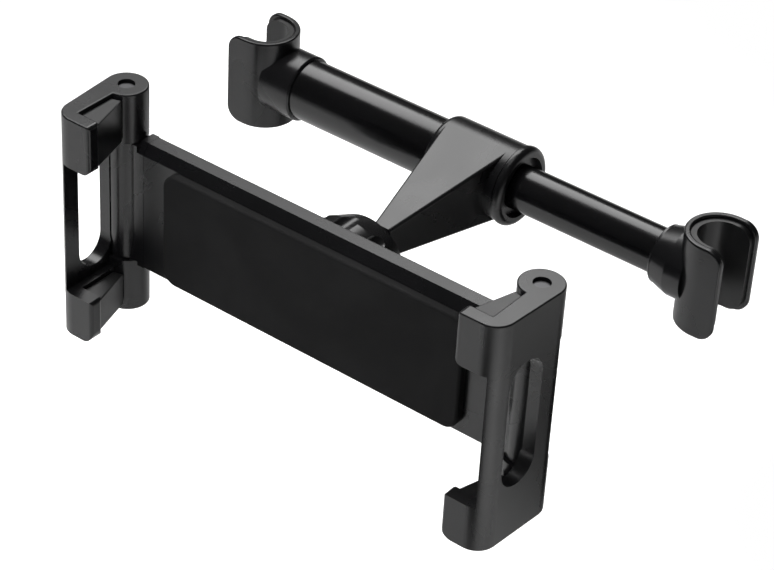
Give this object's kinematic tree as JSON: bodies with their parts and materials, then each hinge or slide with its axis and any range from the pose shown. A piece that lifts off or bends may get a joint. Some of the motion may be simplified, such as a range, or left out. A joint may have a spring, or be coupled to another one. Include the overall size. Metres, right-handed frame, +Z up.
{
  "type": "headrest tablet mount",
  "caption": "Spring-loaded bar that clips between two headrest posts and holds a tablet in a hinged, sliding cradle on a ball joint",
  "frame": {"origin": "on the bar's axis, midway between the axes of the two headrest posts, at half the hooks' height", "axes": "+X along the bar to the thin tube's hook, +Y towards the front of the car (the tablet is at -Y), +Z up along the headrest posts"},
  "size_m": [0.1874, 0.1173, 0.0781],
  "materials": {
    "shell": "satin moulded black",
    "tube": "smooth black tube",
    "rubber": "matt black rubber",
    "nylon": "natural nylon",
    "steel": "turned steel",
    "dark_steel": "blackened steel"
  },
  "bodies": {
    "bar": {"outer_tube": "tube", "guide_bush": "nylon", "spring_seat": "nylon", "bar_spring": "steel", "left_hook": "shell", "left_hook_liner": "rubber", "left_hook_screw": "dark_steel", "hub_screw": "dark_steel", "hub_arm": "shell"},
    "bar_slider": {"inner_tube": "tube", "bar_piston": "nylon", "right_hook": "shell", "right_hook_liner": "rubber", "right_hook_screw": "dark_steel"},
    "stud": {"ball_stud": "dark_steel", "stud_washer": "steel", "stud_screw": "steel"},
    "cup": {"friction_cup": "nylon"},
    "cradle": {"back_cover": "shell", "front_cover": "shell", "front_pad": "rubber", "cover_screws": "dark_steel", "left_cradle_spring": "steel", "right_cradle_spring": "steel"},
    "nut": {"lock_nut": "shell"},
    "left_slider": {"left_slide": "shell", "left_hinge_pin": "dark_steel"},
    "right_slider": {"right_slide": "shell", "right_hinge_pin": "dark_steel"},
    "left_clamp": {"left_jaw": "shell", "left_upper_grip": "rubber", "left_lower_grip": "rubber"},
    "right_clamp": {"right_jaw": "shell", "right_upper_grip": "rubber", "right_lower_grip": "rubber"}
  },
  "joints": [
    {"name": "bar_length", "type": "slide", "parent": "bar", "child": "bar_slider", "axis": [1, 0, 0], "range_m": [-0.036, 0], "stiffness_N_per_m": 300, "springref_m": 0.02, "deforming": ["bar_spring"]},
    {"name": "stud_turn", "type": "hinge", "parent": "bar", "child": "stud", "pos_m": [0, -0.063, -0.0045], "axis": [0, 1, 0], "continuous": true},
    {"name": "cup_tilt", "type": "hinge", "parent": "stud", "child": "cup", "pos_m": [0, -0.063, -0.0045], "axis": [1, 0, 0], "range_deg": [-17, 17]},
    {"name": "cradle_pan", "type": "hinge", "parent": "cup", "child": "cradle", "pos_m": [0, -0.063, -0.0045], "axis": [0, 0, 1], "range_deg": [-17, 17]},
    {"name": "nut_turn", "type": "hinge", "parent": "cradle", "child": "nut", "pos_m": [0, -0.063, -0.0045], "axis": [0, 1, 0], "range_deg": [0, 270]},
    {"name": "left_reach", "type": "slide", "parent": "cradle", "child": "left_slider", "axis": [-1, 0, 0], "range_m": [0, 0.036], "stiffness_N_per_m": 100, "springref_m": -0.04, "deforming": ["left_cradle_spring"]},
    {"name": "right_reach", "type": "slide", "parent": "cradle", "child": "right_slider", "axis": [1, 0, 0], "range_m": [0, 0.036], "stiffness_N_per_m": 100, "springref_m": -0.04, "deforming": ["right_cradle_spring"]},
    {"name": "left_jaw_turn", "type": "hinge", "parent": "left_slider", "child": "left_clamp", "pos_m": [-0.076, -0.078, -0.0045], "axis": [0, 0, -1], "range_deg": [0, 90]},
    {"name": "right_jaw_turn", "type": "hinge", "parent": "right_slider", "child": "right_clamp", "pos_m": [0.076, -0.078, -0.0045], "axis": [0, 0, 1], "range_deg": [0, 90]}
  ]
}
